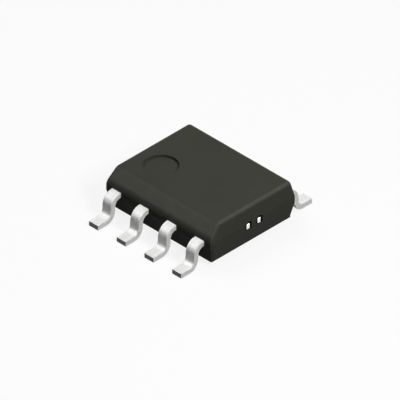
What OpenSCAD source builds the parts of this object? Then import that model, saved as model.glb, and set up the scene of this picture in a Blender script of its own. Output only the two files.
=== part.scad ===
// Eight-lead small-outline integrated circuit: narrow moulded body with gull-wing leads.
// Millimetres. The origin is on the seating plane under the middle of the body, X runs
// across the two rows of leads, Y along them and Z up. Lead 1 is at -X +Y, leads 1 to 4
// run down the -X side and leads 5 to 8 come back up the +X side.

/* [Moulded body] */
// Width of the widest section, from one row of leads to the other
body_x = 3.9; // [3.7:0.05:4.1]
// Length of the widest section, along the rows of leads
body_y = 4.9; // [4.8:0.05:5.2]
// Height from the underside to the top face
body_h = 1.42; // [1.35:0.01:1.6]
// Height of the underside above the seating plane
standoff = 0.165; // [0.1:0.005:0.25]
// Height of the mould's parting plane above the underside
parting_h = 0.71; // [0.66:0.01:0.76]
// Height of the upright land round the parting plane that shows above and below the leads
land_over = 0.01; // [0.005:0.005:0.05]
// Draft of the walls above and below the land, in degrees
draft = 11; // [6:0.5:14]
// Radius of the top and bottom edges
edge_r = 0.08; // [0.04:0.01:0.1]
// Radius of the upright corners at the land
corner_r = 0.1; // [0.06:0.01:0.16]

/* [Lead 1 side] */
// Width that the chamfer on the lead 1 side takes from the top face
chamfer_w = 0.3; // [0.2:0.01:0.4]
// Height that the chamfer takes from the side wall
chamfer_h = 0.44; // [0.3:0.01:0.5]
// Diameter of the round recess that marks lead 1
mark_d = 1.2; // [0.8:0.05:1.4]
// Depth of the recess
mark_depth = 0.1; // [0.04:0.01:0.14]
// Draft of the recess wall, in degrees
mark_draft = 12; // [5:1:20]
// Distance of the recess centre from the chamfer's top edge
mark_in_x = 1; // [0.85:0.05:1.3]
// Distance of the recess centre from the end edge
mark_in_y = 1.06; // [0.85:0.01:1.3]

/* [Mould marks] */
// Diameter of the two ejector-pin marks in the underside
ejector_d = 0.9; // [0.6:0.05:1.1]
// Depth of the ejector-pin marks
ejector_depth = 0.03; // [0.02:0.005:0.06]
// Distance between the two ejector-pin marks
ejector_pitch = 2.6; // [2:0.1:3]
// Width of the scar where the moulding gate was broken off
gate_w = 0.6; // [0.4:0.05:0.8]
// Height of the gate scar, down from the land
gate_h = 0.2; // [0.1:0.01:0.25]
// Distance of the gate scar from the middle of its end wall
gate_x = 1.1; // [0.8:0.05:1.2]
// Depth of the broken face behind the land
gate_back = 0.01; // [0.005:0.001:0.015]

/* [Leads outside the body] */
// Distance from one lead to the next
pitch = 1.27; // [1.2:0.01:1.3]
// Width of each lead
lead_w = 0.41; // [0.33:0.01:0.5]
// Thickness of the sheet that the leads and the die pad are stamped from
sheet_t = 0.2; // [0.17:0.01:0.25]
// Distance over the tips of the two rows of leads
span = 6; // [5.8:0.05:6.2]
// Straight run between the body and the shoulder bend
exit_run = 0.02; // [0.01:0.01:0.1]
// Inside radius of the shoulder bend
shoulder_r = 0.22; // [0.15:0.01:0.26]
// Inside radius of the heel bend above the foot
heel_r = 0.2; // [0.12:0.01:0.24]
// Slope of the leg below horizontal, in degrees
leg_slope = 86; // [78:1:88]

/* [Leadframe inside the body] */
// Depth inside the body at which a lead widens into its finger
lock_in = 0.15; // [0.1:0.01:0.25]
// Width of the fingers
finger_w = 0.6; // [0.5:0.05:0.8]
// Length by which a corner lead's finger runs in past the end of the die pad
finger_reach = 0.5; // [0.3:0.05:0.6]
// Width of a corner lead's finger at its end
nose_w = 0.42; // [0.35:0.01:0.5]
// Size of the die pad across the rows of leads
pad_x = 2.3; // [2:0.05:2.4]
// Size of the die pad along the rows of leads
pad_y = 2.3; // [2:0.05:2.4]
// Gap between the die pad and the fingers
pad_gap = 0.2; // [0.15:0.01:0.25]
// Depth of the die pad below the fingers
downset = 0.2; // [0.1:0.01:0.25]
// Length over which a tie bar slopes down to the die pad
downset_run = 0.2; // [0.15:0.01:0.3]
// Width of the tie bars
tie_w = 0.15; // [0.12:0.01:0.22]
// Distance between the two tie bars at each end
tie_pitch = 0.5; // [0.4:0.01:0.6]

/* [Die] */
// Size of the die across the rows of leads
die_x = 1.4; // [1:0.05:1.8]
// Size of the die along the rows of leads
die_y = 1.5; // [1:0.05:1.8]
// Thickness of the die
die_t = 0.25; // [0.2:0.01:0.3]
// Thickness of the adhesive under the die
attach_t = 0.025; // [0.015:0.005:0.05]
// Width of the adhesive that shows round the die
attach_rim = 0.03; // [0.01:0.01:0.08]

/* [Bond wires] */
// Diameter of the gold wire
wire_d = 0.03; // [0.025:0.005:0.05]
// Diameter of the ball on the die and of the stitch on the finger
bond_d = 0.08; // [0.07:0.01:0.12]
// Thickness of the ball and of the stitch
bond_t = 0.02; // [0.02:0.005:0.03]
// Height of the loop above the die
loop_h = 0.16; // [0.1:0.01:0.2]
// Distance of the balls from the edges of the die
ball_in = 0.1; // [0.08:0.01:0.2]
// Distance between the two middle balls on each side of the die
ball_pitch = 0.8; // [0.5:0.05:0.9]
// Distance of the stitches from the ends of the fingers
stitch_in = 0.15; // [0.1:0.01:0.25]

/* [Hidden] */

leads_per_row = 4;
bend_steps = 9;      // flats in each lead bend
round_fn = 32;       // flats round the body's edge radii
wire_sides = 8;      // sides of a bond wire
wire_steps = 10;     // stretches along a bond wire's loop
ball_side = 0.7;     // share of a ball's thickness below its rounded top
cut_past = 0.05;     // how far a cut runs on past the face that it opens into

parting_z = standoff + parting_h;
top_z = standoff + body_h;
sheet_low = parting_z - sheet_t / 2;
sheet_high = parting_z + sheet_t / 2;
land_low = sheet_low - land_over;
land_high = sheet_high + land_over;

// Half a width w of the drafted body at height z
function half_at(w, z) = w / 2 - max(0, z - land_high, land_low - z) * tan(draft);

chamfer_low_z = top_z - chamfer_h;
chamfer_top_x = half_at(body_x, top_z) - chamfer_w;

pad_high = sheet_high - downset;
attach_high = pad_high + attach_t;
die_high = attach_high + die_t;

// The lead's two bends, seen along Y with the distance from the middle as first coordinate
shoulder_centre = [body_x / 2 + exit_run, sheet_low - shoulder_r];
heel_centre_z = sheet_t + heel_r;
bend_sum = shoulder_r + heel_r + sheet_t;
leg_length = (shoulder_centre[1] - heel_centre_z + bend_sum * cos(leg_slope)) / sin(leg_slope);
heel_centre = [
    shoulder_centre[0] + bend_sum * sin(leg_slope) + leg_length * cos(leg_slope),
    heel_centre_z
];

function unit(v) = v / norm(v);

// Points of an arc from angle a to angle b
function arc(centre, r, a, b, steps) =
    [for (i = [0 : steps]) centre + r * [cos(a + (b - a) * i / steps), sin(a + (b - a) * i / steps)]];

function reversed(points) = [for (i = [len(points) - 1 : -1 : 0]) points[i]];

// Centre of a circle of radius r that touches both edges of a corner
function corner_centre(before, corner, after, r) =
    let (u = unit(before - corner), v = unit(after - corner))
    corner + (u + v) * r / abs(u[0] * v[1] - u[1] * v[0]);

// A lead's row: 0 is the end at +Y. Leads 5 to 8 count back up the +X side
function lead_row(n) = n <= leads_per_row ? n - 1 : 2 * leads_per_row - n;
function lead_side(n) = n <= leads_per_row ? -1 : 1;
function row_y(row) = ((leads_per_row - 1) / 2 - row) * pitch;
function is_corner(row) = row == 0 || row == leads_per_row - 1;

// Ball and stitch of a lead's bond wire, on the +X +Y quarter
function ball_at(row) = [
    die_x / 2 - ball_in,
    is_corner(row) ? die_y / 2 - ball_in : ball_pitch / 2,
    die_high
];
function stitch_at(row) = is_corner(row)
    ? [pad_x / 2 - stitch_in, pad_y / 2 + pad_gap + stitch_in, sheet_high]
    : [pad_x / 2 + pad_gap + stitch_in, pitch / 2, sheet_high];

// Turns the +X +Y quarter into the quarter of lead n
module to_lead(n) {
    mirror([lead_side(n) < 0 ? 1 : 0, 0, 0])
        mirror([0, row_y(lead_row(n)) < 0 ? 1 : 0, 0])
            children();
}

// A ball with its poles exactly on its top and bottom
module edge_ball() {
    rotate_extrude($fn = round_fn)
        polygon(arc([0, 0], edge_r, -90, 90, round_fn / 2));
}

// Outer form of the body: two drafted halves on an upright land, one edge chamfered
module body_form() {
    low = half_at(body_x, standoff);
    high = half_at(body_x, top_z);
    wide = body_x / 2;
    section = [
        [low, standoff], [wide, land_low], [wide, land_high], [high, top_z],
        [-chamfer_top_x, top_z], [-half_at(body_x, chamfer_low_z), chamfer_low_z],
        [-wide, land_high], [-wide, land_low], [-low, standoff]
    ];
    rounded = [0, 3, 4, 5, 8];
    count = len(section);
    hull() {
        for (x = [-1, 1], y = [-1, 1])
            translate([x * (body_x / 2 - corner_r), y * (body_y / 2 - corner_r), land_low])
                cylinder(h = land_high - land_low, r = corner_r, $fn = round_fn);
        for (i = rounded, y = [-1, 1]) {
            centre = corner_centre(
                section[(i + count - 1) % count], section[i], section[(i + 1) % count], edge_r);
            end_y = half_at(body_y, centre[1]) - edge_r / cos(draft);
            translate([centre[0], y * end_y, centre[1]])
                edge_ball();
        }
    }
}

// Tapered round recess that opens at height z and narrows into the solid by depth
module round_recess(d, depth) {
    slope = tan(mark_draft);
    translate([0, 0, -depth])
        cylinder(
            h = depth + cut_past,
            r1 = d / 2 - depth * slope,
            r2 = d / 2 + cut_past * slope,
            $fn = 64
        );
}

// Block that the broken gate leaves below the land on the +Y end
module gate_scar() {
    root = 0.2;
    translate([
        gate_x - gate_w / 2,
        body_y / 2 - gate_back - root,
        land_low - gate_h
    ])
        cube([gate_w, root, gate_h]);
}

// The moulding closes round what it holds, so it has an exact cavity for each piece
module mould_body() {
    color("#3c3c38") difference() {
        union() {
            body_form();
            gate_scar();
        }
        translate([
            -chamfer_top_x + mark_in_x,
            half_at(body_y, top_z) - mark_in_y,
            top_z
        ])
            round_recess(mark_d, mark_depth);
        for (y = [-1, 1])
            translate([0, y * ejector_pitch / 2, standoff])
                rotate([180, 0, 0])
                    round_recess(ejector_d, ejector_depth);
        die_pad(cut_past);
        die_attach(cut_past);
        die(cut_past);
        for (n = [1 : 2 * leads_per_row]) {
            lead(n);
            bond_wire(n, cut_past);
        }
    }
}

// Die pad with two tie bars at each end, set down below the fingers. As a cut, the tie bars
// run on past the end walls
module die_pad(past = 0) {
    slope_in = pad_y / 2 + downset_run / 2;
    slope_out = slope_in + downset_run;
    end_y = body_y / 2 + past;
    low = [[slope_in, sheet_low - downset], [slope_out, sheet_low], [end_y, sheet_low]];
    half = concat(low, reversed([for (p = low) p + [0, sheet_t]]));
    section = concat(half, reversed([for (p = half) [-p[0], p[1]]]));
    color("#c8c8c4") intersection() {
        translate([0, 0, sheet_low - downset - sheet_t])
            linear_extrude(height = downset + 3 * sheet_t) {
                square([pad_x, pad_y], center = true);
                for (x = [-1, 1])
                    translate([x * tie_pitch / 2, 0])
                        square([tie_w, 2 * end_y], center = true);
            }
        translate([-pad_x, 0, 0])
            rotate([90, 0, 90])
                linear_extrude(height = 2 * pad_x)
                    polygon(section);
    }
}

// Stamped outline of a lead, seen from above on the +X +Y quarter
module lead_outline(row) {
    y = abs(row_y(row));
    side = lead_w / 2;
    lock_x = body_x / 2 - lock_in;
    finger_x = pad_x / 2 + pad_gap;
    finger_y = pad_y / 2 + pad_gap;
    tip_x = pad_x / 2 - finger_reach;
    nose_y = finger_y + nose_w;
    bevel = y + side - nose_y;
    inside = is_corner(row)
        ? [
            [tip_x + bevel, y + side], [tip_x, nose_y], [tip_x, finger_y],
            [finger_x, finger_y], [lock_x, y + side - finger_w]
        ]
        : [
            [lock_x, y + finger_w / 2], [finger_x, y + finger_w / 2],
            [finger_x, y - finger_w / 2], [lock_x, y - finger_w / 2]
        ];
    polygon(concat(
        [[span / 2, y - side], [span / 2, y + side], [lock_x, y + side]],
        inside,
        [[lock_x, y - side]]
    ));
}

// Formed section of a lead: flat in the body, over the shoulder, down the leg, on the foot
module lead_section() {
    over = concat(
        [[0, sheet_high]],
        arc(shoulder_centre, shoulder_r + sheet_t, 90, 90 - leg_slope, bend_steps),
        arc(heel_centre, heel_r, 270 - leg_slope, 270, bend_steps),
        [[span / 2, sheet_t]]
    );
    under = concat(
        [[0, sheet_low]],
        arc(shoulder_centre, shoulder_r, 90, 90 - leg_slope, bend_steps),
        arc(heel_centre, heel_r + sheet_t, 270 - leg_slope, 270, bend_steps),
        [[span / 2, 0]]
    );
    polygon(concat(over, reversed(under)));
}

// A lead is its stamped outline, formed to its section
module lead(n) {
    color("#dcdcda") to_lead(n) intersection() {
        translate([0, 0, -sheet_t])
            linear_extrude(height = sheet_high + 2 * sheet_t)
                lead_outline(lead_row(n));
        translate([0, body_y / 2, 0])
            rotate([90, 0, 0])
                linear_extrude(height = body_y / 2)
                    lead_section();
    }
}

// A level plate that stands on height low. As a cut, it runs on down into what it stands on
module plate(x, y, t, low, past) {
    translate([-x / 2, -y / 2, low - past])
        cube([x, y, t + past]);
}

module die_attach(past = 0) {
    color("#b9b6ae")
        plate(die_x + 2 * attach_rim, die_y + 2 * attach_rim, attach_t, pad_high, past);
}

module die(past = 0) {
    color("#5b6070")
        plate(die_x, die_y, die_t, attach_high, past);
}

// A cubic curve through four points, and its direction
function bezier(p, t) =
    let (s = 1 - t)
    s * s * s * p[0] + 3 * s * s * t * p[1] + 3 * s * t * t * p[2] + t * t * t * p[3];
function bezier_way(p, t) =
    let (s = 1 - t)
    unit(s * s * (p[1] - p[0]) + 2 * s * t * (p[2] - p[1]) + t * t * (p[3] - p[2]));

// A ring of points round a wire at p, which runs along way; side is level and square to it
function ring(p, way, side, r) =
    let (other = cross(side, way))
    [for (i = [0 : wire_sides - 1])
        let (a = 360 * (i + 0.5) / wire_sides) p + r * (cos(a) * side + sin(a) * other)];

// Gold wire from a ball on the die, up over its loop and down to a stitch on the finger. The
// loop leaves the ball straight up and comes down on a slant. As a cut, both ends run on down
module bond_wire(n, past = 0) {
    row = lead_row(n);
    up = [0, 0, 1];
    start = ball_at(row);
    finish = stitch_at(row);
    level = [finish[0] - start[0], finish[1] - start[1], 0];
    side = cross(up, unit(level));
    loop = [
        start + bond_t * up,
        start + loop_h * 4 / 3 * up,
        finish - level / 2 + loop_h * up,
        finish + bond_t * up
    ];
    rings = concat(
        [
            ring(start - past * up, up, side, bond_d / 2),
            ring(start + ball_side * bond_t * up, up, side, bond_d / 2)
        ],
        [for (i = [0 : wire_steps])
            ring(bezier(loop, i / wire_steps), bezier_way(loop, i / wire_steps), side, wire_d / 2)],
        [ring(finish, -up, side, bond_d / 2)],
        past > 0 ? [ring(finish - past * up, -up, side, bond_d / 2)] : []
    );
    last = (len(rings) - 1) * wire_sides;
    color("#d9b45a") to_lead(n) polyhedron(
        points = [for (r = rings) each r],
        faces = concat(
            [[for (j = [0 : wire_sides - 1]) j]],
            [for (i = [0 : len(rings) - 2], j = [0 : wire_sides - 1])
                let (k = (j + 1) % wire_sides, a = i * wire_sides, b = a + wire_sides)
                [a + k, a + j, b + j, b + k]],
            [[for (j = [wire_sides - 1 : -1 : 0]) last + j]]
        )
    );
}

mould_body();
die_pad();
die_attach();
die();
for (n = [1 : 2 * leads_per_row]) {
    lead(n);
    bond_wire(n);
}
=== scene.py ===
import math
import bmesh
import bpy
from mathutils import Matrix, Vector, noise


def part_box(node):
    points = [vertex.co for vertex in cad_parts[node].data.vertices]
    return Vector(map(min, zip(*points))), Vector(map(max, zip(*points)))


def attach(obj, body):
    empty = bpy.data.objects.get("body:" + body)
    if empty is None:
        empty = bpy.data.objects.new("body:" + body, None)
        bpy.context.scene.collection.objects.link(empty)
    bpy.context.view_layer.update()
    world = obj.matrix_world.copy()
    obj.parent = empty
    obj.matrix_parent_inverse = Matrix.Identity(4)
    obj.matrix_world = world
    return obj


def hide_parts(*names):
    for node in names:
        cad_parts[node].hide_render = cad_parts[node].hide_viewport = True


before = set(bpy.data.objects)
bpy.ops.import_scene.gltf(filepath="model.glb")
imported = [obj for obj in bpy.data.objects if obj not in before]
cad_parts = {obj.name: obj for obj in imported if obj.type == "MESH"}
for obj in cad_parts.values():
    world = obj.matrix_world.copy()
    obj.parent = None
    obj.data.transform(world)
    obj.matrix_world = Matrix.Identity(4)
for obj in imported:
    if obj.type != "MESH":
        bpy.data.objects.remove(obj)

scene = bpy.context.scene
mm = 0.001  # pieces are drawn in millimetres and scaled to metres once
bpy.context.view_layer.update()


def toLinear(hexColour):
    # sRGB hex to the linear RGBA that the shaders want
    channels = [int(hexColour[i:i + 2], 16) / 255 for i in (1, 3, 5)]
    return [c / 12.92 if c <= 0.04045 else ((c + 0.055) / 1.055) ** 2.4 for c in channels] + [1.0]


def addNode(tree, kind, values=None, links=None, **settings):
    # one node with its settings, its fixed inputs and what feeds the others
    node = tree.nodes.new(kind)
    for name, value in settings.items():
        setattr(node, name, value)
    for socket, value in (values or {}).items():
        node.inputs[socket].default_value = value
    for socket, source in (links or {}).items():
        tree.links.new(source, node.inputs[socket])
    return node


def newMaterial(name):
    material = bpy.data.materials.new(name)
    material.use_nodes = True
    tree = material.node_tree
    tree.nodes.clear()
    place = addNode(tree, "ShaderNodeTexCoord").outputs["Object"]
    return material, tree, place


def perMetre(sizeMm):
    # scale input of a texture whose grain is this many millimetres
    return 1.0 / (sizeMm * mm)


def grainNoise(tree, place, sizeMm, detail, roughness=0.5):
    return addNode(tree, "ShaderNodeTexNoise", {"Scale": perMetre(sizeMm), "Detail": detail,
                   "Roughness": roughness}, {"Vector": place}).outputs["Fac"]


def mapped(tree, value, fromLow, fromHigh, toLow, toHigh):
    return addNode(tree, "ShaderNodeMapRange", {"From Min": fromLow, "From Max": fromHigh,
                   "To Min": toLow, "To Max": toHigh}, {"Value": value}).outputs[0]


def spread(tree, noiseValue, lowest, highest):
    # stretches the middle of a noise, where nearly all of it lies, over a range
    return mapped(tree, noiseValue, 0.3, 0.7, lowest, highest)


def combined(tree, operation, first, second):
    return addNode(tree, "ShaderNodeMath", links={0: first, 1: second},
                   operation=operation).outputs[0]


def tinted(tree, hexColour, tone):
    # a colour made darker or lighter by a value
    return addNode(tree, "ShaderNodeVectorMath", {0: toLinear(hexColour)[:3]},
                   {"Scale": tone}, operation="SCALE").outputs[0]


def bumped(tree, height, depthMm, strength):
    return addNode(tree, "ShaderNodeBump", {"Strength": strength, "Distance": depthMm * mm},
                   {"Height": height}).outputs[0]


def closeMaterial(tree, shader):
    addNode(tree, "ShaderNodeOutputMaterial", links={"Surface": shader.outputs[0]})


# Silica-filled epoxy, transfer moulded against a spark-eroded cavity: an even, dull charcoal
# with a slight olive cast, broken up by the grain of the cavity and of the filler, and a painted
# highlight on its rounded edges and bevel
def mouldedEpoxy():
    finish = {
        "colour": "#41413b", "fillerColour": "#4e4e48", "edgeHighlightColour": "#575751",
        "roughness": 0.4, "roughnessSpread": 0.04, "specular": 0.01,
        "erosionMm": 0.05, "fillerMm": 0.07, "flowMm": 1.6, "highlightPatchMm": 0.4,
        "grainCore": 0.08, "grainRim": 0.3, "grainShare": 0.3, "flowShare": 0.2,
        "highlightLowest": 0.7, "bumpMm": 0.002, "bumpStrength": 0.4,
    }
    mixFactor, mixA, mixB, mixResult = 0, 6, 7, 2  # the colour sockets of a Mix node
    material, tree, place = newMaterial("epoxyMouldedSparkEroded")
    erosion = grainNoise(tree, place, finish["erosionMm"], 3.0, 0.6)
    filler = addNode(tree, "ShaderNodeTexVoronoi", {"Scale": perMetre(finish["fillerMm"])},
                     {"Vector": place}, feature="F1")
    speck = mapped(tree, filler.outputs["Distance"], finish["grainCore"], finish["grainRim"],
                   finish["grainShare"], 0.0)
    cloud = spread(tree, grainNoise(tree, place, finish["flowMm"], 2.0), 0.0,
                   finish["flowShare"])
    plain = addNode(tree, "ShaderNodeMix", {mixA: toLinear(finish["colour"]),
                    mixB: toLinear(finish["fillerColour"])},
                    {mixFactor: combined(tree, "ADD", speck, cloud)}, data_type="RGBA")
    # a painted highlight: the rounded edges and the bevel come out a little lighter, unevenly
    # along their length
    highlight = addNode(tree, "ShaderNodeAttribute", attribute_name="paintedEdgeHighlight").outputs["Fac"]
    uneven = spread(tree, grainNoise(tree, place, finish["highlightPatchMm"], 2.0),
                    finish["highlightLowest"], 1.0)
    highlighted = addNode(tree, "ShaderNodeMix", {mixB: toLinear(finish["edgeHighlightColour"])},
                   {mixFactor: combined(tree, "MULTIPLY", highlight, uneven),
                    mixA: plain.outputs[mixResult]}, data_type="RGBA")
    dullness = spread(tree, erosion, finish["roughness"] - finish["roughnessSpread"],
                      finish["roughness"] + finish["roughnessSpread"])
    shader = addNode(tree, "ShaderNodeBsdfPrincipled",
                     {"IOR": 1.5, "Specular IOR Level": finish["specular"]},
                     {"Base Color": highlighted.outputs[mixResult], "Roughness": dullness,
                      "Normal": bumped(tree, erosion, finish["bumpMm"],
                                       finish["bumpStrength"])})
    closeMaterial(tree, shader)
    return material


# Plated or sheared sheet metal. As matte tin, its crystals are a few microns across and scatter
# most of the light, so it looks nearly white, with a soft satin shine left on the bends
def platedMetal(name, colour, metallic, roughness, specular=0.5):
    finish = {
        "grainMm": 0.03, "patchMm": 0.12, "lineMm": 0.05, "lineRunMm": 0.9,
        "lineLowest": 0.84, "patchLowest": 0.92,
        "roughnessSpread": 0.05, "bumpMm": 0.001, "bumpStrength": 0.3,
    }
    material, tree, place = newMaterial(name)
    # rolling lines run along the strip and over its bends, drawn coarse enough to show
    strip = addNode(tree, "ShaderNodeAttribute", attribute_name="stripPlace")
    across = 1.0 / finish["lineMm"]
    drawn = addNode(tree, "ShaderNodeVectorMath", {1: (1.0 / finish["lineRunMm"], across, across)},
                    {0: strip.outputs["Vector"]}, operation="MULTIPLY")
    lines = addNode(tree, "ShaderNodeTexNoise", {"Scale": 1.0, "Detail": 2.0, "Roughness": 0.6},
                    {"Vector": drawn.outputs[0]})
    ruled = spread(tree, lines.outputs["Fac"], finish["lineLowest"], 1.0)
    patch = grainNoise(tree, place, finish["patchMm"], 3.0, 0.6)
    mottled = spread(tree, patch, finish["patchLowest"], 1.0)
    dullness = spread(tree, patch, roughness - finish["roughnessSpread"],
                      roughness + finish["roughnessSpread"])
    grain = grainNoise(tree, place, finish["grainMm"], 2.0)
    shader = addNode(tree, "ShaderNodeBsdfPrincipled",
                     {"Metallic": metallic, "Specular IOR Level": specular},
                     {"Base Color": tinted(tree, colour,
                                           combined(tree, "MULTIPLY", mottled, ruled)),
                      "Roughness": dullness,
                      "Normal": bumped(tree, grain, finish["bumpMm"],
                                       finish["bumpStrength"])})
    closeMaterial(tree, shader)
    return material


# Inner metals and silicon share one plain recipe: a clean surface with a fine grain
def innerFinish(name, colour, metallic, roughness, grainMm):
    material, tree, place = newMaterial(name)
    lowest = 0.85
    tone = spread(tree, grainNoise(tree, place, grainMm, 2.0), lowest, 1.0)
    shader = addNode(tree, "ShaderNodeBsdfPrincipled",
                     {"Metallic": metallic, "Roughness": roughness},
                     {"Base Color": tinted(tree, colour, tone)})
    closeMaterial(tree, shader)
    return material


epoxy = mouldedEpoxy()
tin = platedMetal("tinPlatedMatte", "#fdfdfb", 0.0, 0.4, 0.5)
silverSpot = platedMetal("silverPlatedBright", "#faf9f6", 1.0, 0.25)
# the sheared ends are bare copper alloy, coloured dark grey as painted shade
bareEndPaintedShade = platedMetal("copperAlloyShearedPaintedShade", "#4c4a48", 0.2, 0.6)
silverEpoxy = innerFinish("silverEpoxyCured", "#b9b6ae", 0.3, 0.6, 0.01)
silicon = innerFinish("siliconPassivated", "#5b6070", 0.2, 0.2, 0.2)
gold = innerFinish("goldWireDrawn", "#e0b95f", 1.0, 0.25, 0.01)
print("materials made")


# The part's own sizes, in millimetres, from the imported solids
low, high = [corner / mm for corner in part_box("mould_body")]
leadLow, leadHigh = [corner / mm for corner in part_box("lead_1")]
sheet = {"top": leadHigh.z, "thickness": 0.2}
partingZ = sheet["top"] - sheet["thickness"] / 2
nearMm = 1e-4  # closer than this is the same place
creaseAngle = math.radians(35)  # sharper turns than this stay creased
squareOn = 0.99  # a flat whose normal has this much of a direction looks straight that way


def plainMesh(carrier, used):
    # the carrier's mesh with its modifiers done; the objects used up on the way are removed
    bpy.context.view_layer.update()
    result = bpy.data.meshes.new_from_object(
        carrier.evaluated_get(bpy.context.evaluated_depsgraph_get()))
    for spare in used:
        bpy.data.objects.remove(spare)
    return result


def withEvenNormals(mesh):
    # the flats set the shading; the modifier passes over tiny areas, so it runs in millimetres
    mesh.transform(Matrix.Scale(1 / mm, 4))
    carrier = bpy.data.objects.new("evenNormals", mesh)
    scene.collection.objects.link(carrier)
    step = carrier.modifiers.new("evenNormals", "WEIGHTED_NORMAL")
    step.keep_sharp = True
    result = plainMesh(carrier, [carrier])
    result.transform(Matrix.Scale(mm, 4))
    return result


def buildMesh(name, mesh, rounding=None, cuts=(), tree=None, inputs=None, evenNormals=True):
    # runs rounding, cuts or a node tree on a mesh and returns a plain mesh
    carrier = bpy.data.objects.new(name, mesh)
    scene.collection.objects.link(carrier)
    helpers = []
    if rounding:
        step = carrier.modifiers.new("rounding", "BEVEL")
        step.width, step.segments = rounding
        step.limit_method = "WEIGHT"
        step.offset_type = "OFFSET"
    for cutter, operation in cuts:
        helper = bpy.data.objects.new(name + "Cut", cutter)
        scene.collection.objects.link(helper)
        helpers.append(helper)
        step = carrier.modifiers.new("cut", "BOOLEAN")
        step.object = helper
        step.operation = operation
        step.solver = "EXACT"
    if tree:
        step = carrier.modifiers.new(name, "NODES")
        step.node_group = tree
        sockets = {s.name: s.identifier for s in tree.interface.items_tree
                   if s.in_out == "INPUT"}
        for key, value in inputs.items():
            step[sockets[key]] = value
    result = plainMesh(carrier, [carrier] + helpers)
    return withEvenNormals(result) if evenNormals else result


def keepPiece(name, mesh, nodes):
    # a finished mesh in metres becomes a piece that stands for its CAD nodes
    piece = bpy.data.objects.new(name, mesh)
    scene.collection.objects.link(piece)
    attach(piece, "root")
    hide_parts(*nodes)


def meshFrom(name, mesh, scale=1.0):
    data = bpy.data.meshes.new(name)
    mesh.to_mesh(data)
    mesh.free()
    data.transform(Matrix.Scale(scale, 4))
    return data


body = {
    "landOver": 0.01, "draft": math.radians(11), "chamferWidth": 0.3, "chamferHeight": 0.44,
    "edgeRadius": 0.13, "bottomRadius": 0.02, "roundSteps": 6,
    # the painted edge highlight: its strength on the bevel, where it starts and how deep into the
    # fillets it reaches
    "bevelHighlight": 0.68, "highlightFrom": 0.03, "highlightDepth": 0.22,
    "markDiameter": 1.2, "markDepth": 0.1, "markInX": 1.0, "markInY": 1.06,
    "ejectorDiameter": 0.9, "ejectorDepth": 0.03, "ejectorPitch": 2.6,
    "markDraft": math.radians(3), "rimRadius": 0.005, "floorRadius": 0.008, "ringSteps": 96,
    "tiePitch": 0.5, "tieWidth": 0.15, "tieGap": 0.07, "tiePocket": 0.14, "tieSteps": 3,
    "gateWidth": 0.6, "gateHeight": 0.2, "gateX": 1.1, "gateBack": 0.01, "gateRoot": 0.2,
    "gateRoughness": 0.012, "gateGrain": 9, "gateFade": 0.04, "gateSlump": 0.015,
    "gateStep": 0.02,
}
wide, long = high.x - low.x, high.y - low.y
landHigh = sheet["top"] + body["landOver"]
landLow = sheet["top"] - sheet["thickness"] - body["landOver"]


def halfAt(full, z):
    # half of a drafted width at height z
    return full / 2 - max(0, z - landHigh, landLow - z) * math.tan(body["draft"])


def onLand(heights):
    # whether a level edge is one of the parting land's
    level = max(heights) - min(heights) < nearMm
    return level and min(abs(heights[0] - z) for z in (landLow, landHigh)) < nearMm


def bodyShell(mesh):
    # the drafted form with sharp edges: bottom, land, top and the chamfered side
    chamferZ = high.z - body["chamferHeight"]
    chamferX = halfAt(wide, high.z) - body["chamferWidth"]

    def loopAt(z, left, right):
        y = halfAt(long, z)
        return [mesh.verts.new(p) for p in
                ((left, -y, z), (right, -y, z), (right, y, z), (left, y, z))]

    bottom = loopAt(low.z, -halfAt(wide, low.z), halfAt(wide, low.z))
    below = loopAt(landLow, -wide / 2, wide / 2)
    above = loopAt(landHigh, -wide / 2, wide / 2)
    top = loopAt(high.z, -chamferX, halfAt(wide, high.z))
    y = halfAt(long, chamferZ)
    side = [mesh.verts.new((-halfAt(wide, chamferZ), s * y, chamferZ)) for s in (-1, 1)]
    faces = [list(reversed(bottom)), top]
    for lower, upper in ((bottom, below), (below, above)):
        for i in range(4):
            j = (i + 1) % 4
            faces.append([lower[i], lower[j], upper[j], upper[i]])
    faces.append([above[0], above[1], top[1], top[0], side[0]])
    faces.append([above[1], above[2], top[2], top[1]])
    faces.append([above[2], above[3], side[1], top[3], top[2]])
    faces.append([above[3], above[0], side[0], side[1]])
    faces.append([side[1], side[0], top[0], top[3]])
    for face in faces:
        mesh.faces.new(face)

    mesh.normal_update()
    share = mesh.edges.layers.float.new("bevel_weight_edge")
    for edge in mesh.edges:
        heights = [v.co.z for v in edge.verts]
        if onLand(heights):
            continue  # the parting land stays crisp
        onBottom = max(heights) < low.z + nearMm
        edge[share] = body["bottomRadius"] / body["edgeRadius"] if onBottom else 1.0
    return [(f.verts[0].co.copy(), f.normal.copy()) for f in mesh.faces]


def markEdgeHighlight(mesh, planes):
    # a painted edge highlight: square edges by how far each point lies inside the two flats there;
    # the bevel, and the blunt edges beside it, by how near each point lies to the bevel, which is
    # the last of the planes
    highlight = mesh.verts.layers.float.new("paintedEdgeHighlight")
    deepest = body["edgeRadius"] * body["highlightDepth"]
    bevel = len(planes) - 1
    for vert in mesh.verts:
        gaps = [max(0.0, (point - vert.co).dot(normal)) for point, normal in planes]
        first, second = sorted(range(len(planes)), key=lambda i: gaps[i])[:2]
        blunt = planes[first][1].dot(planes[second][1]) > 0.5  # a turn under 60 degrees
        inside = max(0.0, min(1.0, gaps[first] / deepest - body["highlightFrom"]))
        vert[highlight] = 0.0 if blunt else math.sqrt(inside)
        if bevel in (first, second) and (blunt or gaps[bevel] < nearMm):
            other = gaps[first + second - bevel]
            share = other / max(other + gaps[bevel], nearMm)
            vert[highlight] = max(vert[highlight], body["bevelHighlight"] * share * share)


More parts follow.
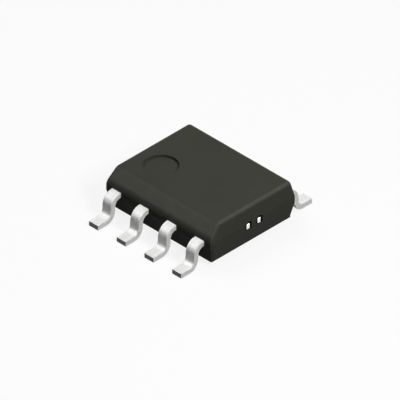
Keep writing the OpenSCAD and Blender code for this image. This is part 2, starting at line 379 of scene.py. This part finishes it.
def roundRecess(mesh, centre, diameter, depth, inward):
    # the surface of a tapered round recess; returns the edges of its open rim
    slope, steps = math.tan(body["markDraft"]), body["ringSteps"]
    rim, foot = body["rimRadius"], min(body["floorRadius"], depth / 2)
    floorR = diameter / 2 - depth * slope
    quarter = [math.radians(30 * i) for i in range(4)]
    section = [(diameter / 2 + rim - rim * math.sin(a), rim - rim * math.cos(a))
               for a in quarter]
    section += [(floorR - foot + foot * math.cos(a), depth - foot + foot * math.sin(a))
                for a in quarter]
    rings = []
    for radius, down in section:
        rings.append([mesh.verts.new((centre.x + radius * math.cos(2 * math.pi * i / steps),
                                      centre.y + radius * math.sin(2 * math.pi * i / steps),
                                      centre.z + inward * down)) for i in range(steps)])
    for first, second in zip(rings, rings[1:]):
        for i in range(steps):
            j = (i + 1) % steps
            mesh.faces.new([first[i], first[j], second[j], second[i]])
    mesh.faces.new(rings[-1])
    return [mesh.edges.get((rings[0][i], rings[0][(i + 1) % steps])) for i in range(steps)]


def openFace(mesh, upward, recesses):
    # cuts round recesses into the largest level face that looks up or down
    face = max((f for f in mesh.faces if f.normal.z * upward > squareOn),
               key=lambda f: f.calc_area())
    edges = list(face.edges)
    mesh.faces.remove(face)
    for centre, diameter, depth in recesses:
        edges += roundRecess(mesh, centre, diameter, depth, -upward)
    filled = bmesh.ops.triangle_fill(mesh, edges=edges, use_beauty=True)["geom"]
    inner = [e for e in filled if isinstance(e, bmesh.types.BMEdge) and e not in edges]
    bmesh.ops.dissolve_limit(mesh, angle_limit=math.radians(0.5), verts=[], edges=inner)


def tiePocket(mesh, x, y):
    # a shallow slot with rounded corners round the cut end of a tie bar
    halfX = body["tieWidth"] / 2 + body["tieGap"]
    halfZ = sheet["thickness"] / 2 + body["tieGap"]
    made = bmesh.ops.create_cube(mesh, size=2.0)["verts"]
    bmesh.ops.transform(mesh, verts=made, matrix=Matrix.Translation((x, y, partingZ))
                        @ Matrix.Diagonal((halfX, body["tiePocket"], halfZ, 1)))
    along = [e for e in mesh.edges if e.verts[0] in made
             and abs(e.verts[0].co.y - e.verts[1].co.y) > body["tiePocket"]]
    bmesh.ops.bevel(mesh, geom=along, offset=body["tieGap"], offset_type="OFFSET",
                    segments=body["tieSteps"], profile=0.5, affect="EDGES")


def gateScar():
    # the broken stump of the moulding gate, uneven on its face
    mesh = bmesh.new()
    root, fade = body["gateRoot"], body["gateFade"]
    face = long / 2 - body["gateBack"]
    centreZ = landLow - body["gateHeight"] / 2
    bmesh.ops.create_cube(mesh, size=1.0)
    bmesh.ops.transform(mesh, verts=mesh.verts, matrix=Matrix.Translation(
        (body["gateX"], face - root / 2, centreZ)) @ Matrix.Diagonal(
        (body["gateWidth"], root, body["gateHeight"], 1)))
    for way, size, middle in ((Vector((1, 0, 0)), body["gateWidth"], body["gateX"]),
                              (Vector((0, 0, 1)), body["gateHeight"], centreZ)):
        count = round(size / body["gateStep"])
        for i in range(1, count):
            at = middle - size / 2 + size * i / count
            bmesh.ops.bisect_plane(mesh, geom=mesh.verts[:] + mesh.edges[:] + mesh.faces[:],
                                   plane_co=way * at, plane_no=way)
    falloff, lacunarity, octaves = 0.8, 2.0, 4
    for vert in mesh.verts:
        if vert.co.y > face - nearMm:
            inward = min(1, (body["gateWidth"] / 2 - abs(vert.co.x - body["gateX"])) / fade)
            inward *= min(1, (vert.co.z - centreZ + body["gateHeight"] / 2) / fade)
            rough = noise.fractal(vert.co * body["gateGrain"], falloff, lacunarity, octaves)
            vert.co.y -= body["gateRoughness"] * (0.5 + 0.5 * rough)
            vert.co.y -= body["gateSlump"] * (1 - inward)
    bmesh.ops.recalc_face_normals(mesh, faces=mesh.faces)
    return meshFrom("gateScar", mesh)


def makeBody():
    drawn = bmesh.new()
    planes = bodyShell(drawn)
    rounded = buildMesh("moulding", meshFrom("moulding", drawn), evenNormals=False,
                        rounding=(body["edgeRadius"], body["roundSteps"]))
    mesh = bmesh.new()
    mesh.from_mesh(rounded)
    # paints a highlight onto the rounded edges and the bevel
    markEdgeHighlight(mesh, planes)
    for vert in mesh.verts:
        vert.co.y = max(low.y, min(high.y, vert.co.y))
        vert.co.x = max(low.x, min(high.x, vert.co.x))
    mark = Vector((-(halfAt(wide, high.z) - body["chamferWidth"]) + body["markInX"],
                   halfAt(long, high.z) - body["markInY"], high.z))
    openFace(mesh, 1, [(mark, body["markDiameter"], body["markDepth"])])
    openFace(mesh, -1, [(Vector((0, s * body["ejectorPitch"] / 2, low.z)),
                         body["ejectorDiameter"], body["ejectorDepth"]) for s in (-1, 1)])
    bmesh.ops.recalc_face_normals(mesh, faces=mesh.faces)
    shell = meshFrom("moulding", mesh)
    pockets = bmesh.new()
    for x in (-1, 1):
        for y in (low.y, high.y):
            tiePocket(pockets, x * body["tiePitch"] / 2, y)
    cuts = [(gateScar(), "UNION"), (meshFrom("tiePockets", pockets), "DIFFERENCE")]
    joined = buildMesh("moulding", shell, cuts=cuts, evenNormals=False)
    joined.transform(Matrix.Scale(mm, 4))
    joined.materials.clear()
    joined.materials.append(epoxy)
    joined.shade_smooth()
    joined.set_sharp_from_angle(angle=creaseAngle)
    for edge in joined.edges:
        if onLand([joined.vertices[i].co.z / mm for i in edge.vertices]):
            edge.use_edge_sharp = True
    keepPiece("mouldedBody", buildMesh("mouldedBody", joined),
              ["mould_body"])


makeBody()
print("moulded body made")


pad = {"endRadius": 0.035, "endSteps": 3, "barFrom": 1.6, "barSlope": 0.3}


def alongBar(edge):
    # whether an edge runs the length of a tie bar, clear of the slope down to the pad
    reach = [abs(vert.co.y) for vert in edge.verts]
    return (min(reach) > pad["barFrom"] - pad["barSlope"]
            and abs(edge.verts[0].co.y - edge.verts[1].co.y) > pad["barSlope"])


def atCutEnd(edge):
    return all(abs(vert.co.y) > high.y - nearMm for vert in edge.verts)


def makeDiePad():
    # the stamped pad as it is in the solids, with the cut ends of its tie bars worn round
    mesh = bmesh.new()
    mesh.from_mesh(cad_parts["die_pad"].data)
    bmesh.ops.transform(mesh, verts=mesh.verts, matrix=Matrix.Scale(1 / mm, 4))
    bmesh.ops.remove_doubles(mesh, verts=mesh.verts, dist=nearMm)
    bmesh.ops.dissolve_limit(mesh, angle_limit=math.radians(1), verts=mesh.verts,
                             edges=mesh.edges)
    for chosen in (alongBar, atCutEnd):
        bmesh.ops.bevel(mesh, geom=[e for e in mesh.edges if chosen(e)],
                        segments=pad["endSteps"], offset=pad["endRadius"],
                        offset_type="OFFSET", profile=0.5, affect="EDGES")
    data = meshFrom("diePad", mesh, mm)
    data.materials.append(silverSpot)
    data.materials.append(epoxy)
    for face in data.polygons:
        # a film of epoxy creeps along the sides of each tie bar, only its cut end stays bright
        face.material_index = int(abs(face.center.y) > pad["barFrom"] * mm
                                  and abs(face.normal.y) < 0.5)
    data.shade_smooth()
    data.set_sharp_from_angle(angle=creaseAngle)
    keepPiece("diePadWithTieBars", buildMesh("diePad", data), ["die_pad"])


makeDiePad()
print("die pad made")


lead = {
    "width": 0.41, "exitRun": 0.02, "shoulderRadius": 0.22, "heelRadius": 0.2,
    "legSlope": math.radians(86), "bendSteps": 16, "edgeRadius": 0.022, "edgeSteps": 3,
    "creaseAngle": math.radians(60), "perRow": 4, "pitch": 1.27,
    "lockIn": 0.15, "fingerWidth": 0.6, "fingerReach": 0.5, "noseWidth": 0.42,
    "padX": 2.3, "padY": 2.3, "padGap": 0.2,
}
half = sheet["thickness"] / 2
exitX = high.x + lead["exitRun"]
bendTurn = math.tan(lead["legSlope"] / 2)
shoulderX = exitX + (lead["shoulderRadius"] + half) * bendTurn
heelX = shoulderX + (partingZ - half) / math.tan(lead["legSlope"])
shoulderArc = (lead["shoulderRadius"] + half) * lead["legSlope"]
heelArc = (lead["heelRadius"] + half) * lead["legSlope"]
legRun = ((partingZ - half) / math.sin(lead["legSlope"])
          - (lead["shoulderRadius"] + lead["heelRadius"] + 2 * half) * bendTurn)
footX = heelX + (lead["heelRadius"] + half) * bendTurn
tipX = -leadLow.x
tipSpare = 0.0005  # keeps rounding errors inside the solids' span
blankTip = exitX + shoulderArc + legRun + heelArc + tipX - footX - tipSpare


def leadOutline(row):
    # stamped outline on the +X +Y quarter, flat: finger, lock and the strip that gets formed
    y = abs((lead["perRow"] - 1) / 2 - row) * lead["pitch"]
    side = lead["width"] / 2
    lockX = high.x - lead["lockIn"]
    fingerX = lead["padX"] / 2 + lead["padGap"]
    fingerY = lead["padY"] / 2 + lead["padGap"]
    noseX = lead["padX"] / 2 - lead["fingerReach"]
    if row in (0, lead["perRow"] - 1):
        noseY = fingerY + lead["noseWidth"]
        inside = [(noseX + y + side - noseY, y + side), (noseX, noseY), (noseX, fingerY),
                  (fingerX, fingerY), (lockX, y + side - lead["fingerWidth"])]
    else:
        reach = lead["fingerWidth"] / 2
        inside = [(lockX, y + reach), (fingerX, y + reach), (fingerX, y - reach),
                  (lockX, y - reach)]
    return ([(blankTip, y - side), (blankTip, y + side), (lockX, y + side)] + inside
            + [(lockX, y - side)])


def leadBlank(row, sideY):
    # the flat stamping, its edges rolled a little, cut finely where it will bend
    mesh = bmesh.new()
    outline = mesh.faces.new([mesh.verts.new((x, y, -half)) for x, y in leadOutline(row)])
    lifted = bmesh.ops.extrude_face_region(mesh, geom=[outline])["geom"]
    bmesh.ops.translate(mesh, verts=[v for v in lifted if isinstance(v, bmesh.types.BMVert)],
                        vec=(0, 0, 2 * half))
    bmesh.ops.recalc_face_normals(mesh, faces=mesh.faces)
    rims = [e for e in mesh.edges if abs(e.verts[0].co.z - e.verts[1].co.z) < nearMm]
    bmesh.ops.bevel(mesh, geom=rims, offset=lead["edgeRadius"], offset_type="OFFSET",
                    segments=lead["edgeSteps"], profile=0.5, affect="EDGES")
    cuts = [high.x - lead["lockIn"]]
    for start, length in ((exitX, shoulderArc), (exitX + shoulderArc + legRun, heelArc)):
        cuts += [start + length * i / lead["bendSteps"] for i in range(lead["bendSteps"] + 1)]
    for at in cuts:
        bmesh.ops.bisect_plane(mesh, geom=mesh.verts[:] + mesh.edges[:] + mesh.faces[:],
                               plane_co=(at, 0, 0), plane_no=(1, 0, 0))
    strip = mesh.verts.layers.float_vector.new("stripPlace")
    for vert in mesh.verts:
        vert[strip] = vert.co
    sheared = mesh.faces.layers.bool.new("shearedEnd")
    for face in mesh.faces:
        face[sheared] = (face.normal.x > squareOn
                         and face.calc_center_median().x > blankTip - nearMm)
    for vert in mesh.verts:
        vert.co.y *= sideY
    if sideY < 0:
        bmesh.ops.reverse_faces(mesh, faces=mesh.faces)
    return meshFrom("leadBlank", mesh)


def formingTree():
    # lays a flat stamping on a bent path: the run along X becomes length along the path
    tree = bpy.data.node_groups.new("leadForming", "GeometryNodeTree")
    lengths = ("Start X", "Shoulder X", "Heel X", "Tip X", "Sheet Mid Z", "Foot Mid Z",
               "Shoulder Radius", "Heel Radius")
    for kind, names in (("Geometry", ("Blank",)), ("Float", lengths), ("Int", ("Bend Steps",)),
                        ("Material", ("Plating", "Sheared"))):
        for name in names:
            tree.interface.new_socket(name, in_out="INPUT", socket_type="NodeSocket" + kind)
    tree.interface.new_socket("Lead", in_out="OUTPUT", socket_type="NodeSocketGeometry")
    given = addNode(tree, "NodeGroupInput").outputs
    corners = []
    for x, z in (("Start X", "Sheet Mid Z"), ("Shoulder X", "Sheet Mid Z"),
                 ("Heel X", "Foot Mid Z"), ("Tip X", "Foot Mid Z")):
        corners.append(addNode(tree, "ShaderNodeCombineXYZ",
                               links={"X": given[x], "Z": given[z]}).outputs[0])
    runs = []
    for start, end in zip(corners, corners[1:]):
        line = addNode(tree, "GeometryNodeCurvePrimitiveLine", links={"Start": start, "End": end})
        runs.append(addNode(tree, "GeometryNodeCurveToMesh", links={"Curve": line.outputs[0]}))
    joined = addNode(tree, "GeometryNodeJoinGeometry")
    for run in reversed(runs):
        tree.links.new(run.outputs[0], joined.inputs[0])
    merged = addNode(tree, "GeometryNodeMergeByDistance", {"Distance": 1e-5},
                     {"Geometry": joined.outputs[0]})
    path = addNode(tree, "GeometryNodeMeshToCurve", links={0: merged.outputs[0]})
    index = addNode(tree, "GeometryNodeInputIndex")
    isShoulder = addNode(tree, "FunctionNodeCompare", {3: 1}, {2: index.outputs[0]},
                         data_type="INT", operation="EQUAL")
    radius = addNode(tree, "GeometryNodeSwitch", links={"Switch": isShoulder.outputs[0],
                     "False": given["Heel Radius"], "True": given["Shoulder Radius"]},
                     input_type="FLOAT")
    bent = addNode(tree, "GeometryNodeFilletCurve", links={"Curve": path.outputs[0],
                   "Radius": radius.outputs[0], "Count": given["Bend Steps"]}, mode="POLY")
    flat = addNode(tree, "GeometryNodeInputPosition")
    parts = addNode(tree, "ShaderNodeSeparateXYZ", links={0: flat.outputs[0]})
    along = addNode(tree, "ShaderNodeMath", links={0: parts.outputs["X"], 1: given["Start X"]},
                    operation="SUBTRACT")
    sample = addNode(tree, "GeometryNodeSampleCurve", links={"Curves": bent.outputs[0],
                     "Length": along.outputs[0]}, mode="LENGTH", use_all_curves=True)
    over = addNode(tree, "ShaderNodeVectorMath", {1: (0, 1, 0)},
                   {0: sample.outputs["Tangent"]}, operation="CROSS_PRODUCT")
    lift = addNode(tree, "ShaderNodeVectorMath", links={0: over.outputs[0],
                   "Scale": parts.outputs["Z"]}, operation="SCALE")
    across = addNode(tree, "ShaderNodeCombineXYZ", links={"Y": parts.outputs["Y"]})
    onPath = addNode(tree, "ShaderNodeVectorMath", links={0: sample.outputs["Position"],
                     1: lift.outputs[0]}, operation="ADD")
    place = addNode(tree, "ShaderNodeVectorMath", links={0: onPath.outputs[0],
                    1: across.outputs[0]}, operation="ADD")
    formed = addNode(tree, "GeometryNodeSetPosition", links={"Geometry": given["Blank"],
                     "Position": place.outputs[0]})
    smooth = addNode(tree, "GeometryNodeSetShadeSmooth", links={0: formed.outputs[0]})
    real = addNode(tree, "GeometryNodeRealizeInstances", links={0: smooth.outputs[0]})
    plated = addNode(tree, "GeometryNodeSetMaterial",
                     links={"Geometry": real.outputs[0], "Material": given["Plating"]})
    end = addNode(tree, "GeometryNodeInputNamedAttribute", {"Name": "shearedEnd"},
                  data_type="BOOLEAN")
    cut = addNode(tree, "GeometryNodeSetMaterial", links={"Geometry": plated.outputs[0],
                  "Selection": end.outputs[0], "Material": given["Sheared"]})
    addNode(tree, "NodeGroupOutput", links={0: cut.outputs[0]})
    return tree


leadForming = formingTree()


def makeLead(number):
    firstRow = number <= lead["perRow"]
    sideX = -1 if firstRow else 1
    row = number - 1 if firstRow else 2 * lead["perRow"] - number
    sideY = 1 if row < lead["perRow"] / 2 else -1
    formed = buildMesh("formedLead", leadBlank(row, sideY), tree=leadForming, inputs={
        "Start X": 0.0, "Shoulder X": shoulderX, "Heel X": heelX, "Tip X": tipX + half,
        "Sheet Mid Z": partingZ, "Foot Mid Z": half,
        "Shoulder Radius": lead["shoulderRadius"] + half,
        "Heel Radius": lead["heelRadius"] + half,
        "Bend Steps": 2 * lead["bendSteps"], "Plating": tin, "Sheared": bareEndPaintedShade},
        evenNormals=False)
    formed.transform(Matrix.Diagonal((sideX * mm, mm, mm, 1)))
    if sideX < 0:
        formed.flip_normals()
    formed.set_sharp_from_angle(angle=lead["creaseAngle"])
    name = f"gullWingLead{number}"
    keepPiece(name, buildMesh(name, formed), [f"lead_{number}"])


leadNumbers = range(1, 2 * lead["perRow"] + 1)
for number in leadNumbers:
    makeLead(number)
print("leads made")


# The pieces inside keep the solids' shapes
innerPieces = {"die_attach": silverEpoxy, "die": silicon}
innerPieces.update((f"bond_wire_{number}", gold) for number in leadNumbers)
for node, material in innerPieces.items():
    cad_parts[node].data.materials.clear()
    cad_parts[node].data.materials.append(material)
print("inner pieces dressed")


camera = {
    "azimuth": -45.0, "elevation": 35.35, "widthMm": 12.96, "rightMm": -0.0165, "upMm": 0.47,
    "distanceMm": 60.0, "clipStart": 0.001, "clipEnd": 1.0,
}


def makeCamera():
    a, e = math.radians(camera["azimuth"]), math.radians(camera["elevation"])
    back = Vector((math.sin(a) * math.cos(e), -math.cos(a) * math.cos(e), math.sin(e)))
    right = Vector((math.cos(a), math.sin(a), 0))
    up = back.cross(right)
    aim = (right * camera["rightMm"] + up * camera["upMm"]) * mm
    data = bpy.data.cameras.new("camera")
    data.type = "ORTHO"
    data.ortho_scale = camera["widthMm"] * mm
    data.clip_start, data.clip_end = camera["clipStart"], camera["clipEnd"]
    eye = bpy.data.objects.new("camera", data)
    eye.location = aim + back * camera["distanceMm"] * mm
    eye.rotation_mode = "QUATERNION"
    eye.rotation_quaternion = (-back).to_track_quat("-Z", "Y")
    scene.collection.objects.link(eye)
    scene.camera = eye


makeCamera()


# Softboxes: where each stands, its side in millimetres and its level, where the levels of all
# that light a level sheet add up to about 1. A sheen box is seen only as a reflection
studio = {
    "over": {"toward": (0.0, 0.0, 1.0), "size": 20, "level": 0.11},
    "overBack": {"toward": (0.0, 0.6, 1.0), "size": 40, "level": 0.35},
    "endHigh": {"toward": (0.0, -1.0, 1.0), "size": 24, "level": 0.65},
    "sheenSide": {"toward": (-0.65, 0.58, 0.49), "size": 40, "level": 0.6},
    "sheenHigh": {"toward": (-0.5, 0.45, 0.75), "size": 40, "level": 0.8},
    "sheenLeft": {"toward": (-0.85, 0.3, 0.5), "size": 40, "level": 0.15},
    "sheenEnd": {"toward": (0.58, -0.58, 0.58), "size": 40, "level": 0.4},
}
lampDistance = 80.0
white = math.pi  # radiosity of a sheet that renders as white


def makeLamp(name, toward, size, level):
    direction = Vector(toward).normalized()
    data = bpy.data.lights.new(name, "AREA")
    data.shape = "SQUARE"
    data.size = size * mm
    data.energy = level * white * math.pi * (lampDistance * mm) ** 2
    lamp = bpy.data.objects.new(name, data)
    lamp.location = direction * lampDistance * mm
    lamp.rotation_mode = "QUATERNION"
    lamp.rotation_quaternion = (-direction).to_track_quat("-Z", "Y")
    lamp.visible_diffuse = not name.startswith("sheen")
    scene.collection.objects.link(lamp)


for name, setup in studio.items():
    makeLamp(name, **setup)


def seenRay(tree):
    # 1 for what the camera, metal and glass see, 0 for light that bounces on
    ray = addNode(tree, "ShaderNodeLightPath").outputs
    seen = combined(tree, "MAXIMUM", ray["Is Camera Ray"], ray["Is Glossy Ray"])
    return combined(tree, "MAXIMUM", seen, ray["Is Transmission Ray"])


backdrop = {
    "reach": 0.5, "paper": "#f9f9f9", "bounce": "#3f3f3f", "glowShare": 0.85, "ambient": 0.02,
}


def makeFloor():
    # white paper that keeps the shadow, but throws little light back up at the object
    mesh = bpy.data.meshes.new("floor")
    reach = backdrop["reach"]
    mesh.from_pydata([(-reach, -reach, 0), (reach, -reach, 0), (reach, reach, 0),
                      (-reach, reach, 0)], [], [(0, 1, 2, 3)])
    material, tree, _ = newMaterial("paperSweepWhite")
    paper = addNode(tree, "ShaderNodeBsdfDiffuse", {"Color": toLinear(backdrop["paper"])})
    glow = addNode(tree, "ShaderNodeEmission", {"Strength": 1.0})
    shown = addNode(tree, "ShaderNodeMixShader", {0: backdrop["glowShare"]},
                    {1: paper.outputs[0], 2: glow.outputs[0]})
    bounce = addNode(tree, "ShaderNodeBsdfDiffuse", {"Color": toLinear(backdrop["bounce"])})
    mixed = addNode(tree, "ShaderNodeMixShader", links={0: seenRay(tree), 1: bounce.outputs[0],
                    2: shown.outputs[0]})
    closeMaterial(tree, mixed)
    mesh.materials.append(material)
    floor = bpy.data.objects.new("floor", mesh)
    scene.collection.objects.link(floor)


def makeWorld():
    world = bpy.data.worlds.new("studioAir")
    world.use_nodes = True
    tree = world.node_tree
    tree.nodes.clear()
    ambient = addNode(tree, "ShaderNodeBackground", {"Strength": backdrop["ambient"]})
    pale = addNode(tree, "ShaderNodeBackground", {"Strength": 1.0})
    for shader in (ambient, pale):
        shader.inputs["Color"].default_value = (1, 1, 1, 1)
    mixed = addNode(tree, "ShaderNodeMixShader", links={0: seenRay(tree), 1: ambient.outputs[0],
                    2: pale.outputs[0]})
    addNode(tree, "ShaderNodeOutputWorld", links={"Surface": mixed.outputs[0]})
    scene.world = world


makeFloor()
makeWorld()
scene.view_settings.view_transform = "Standard"
print("studio made")
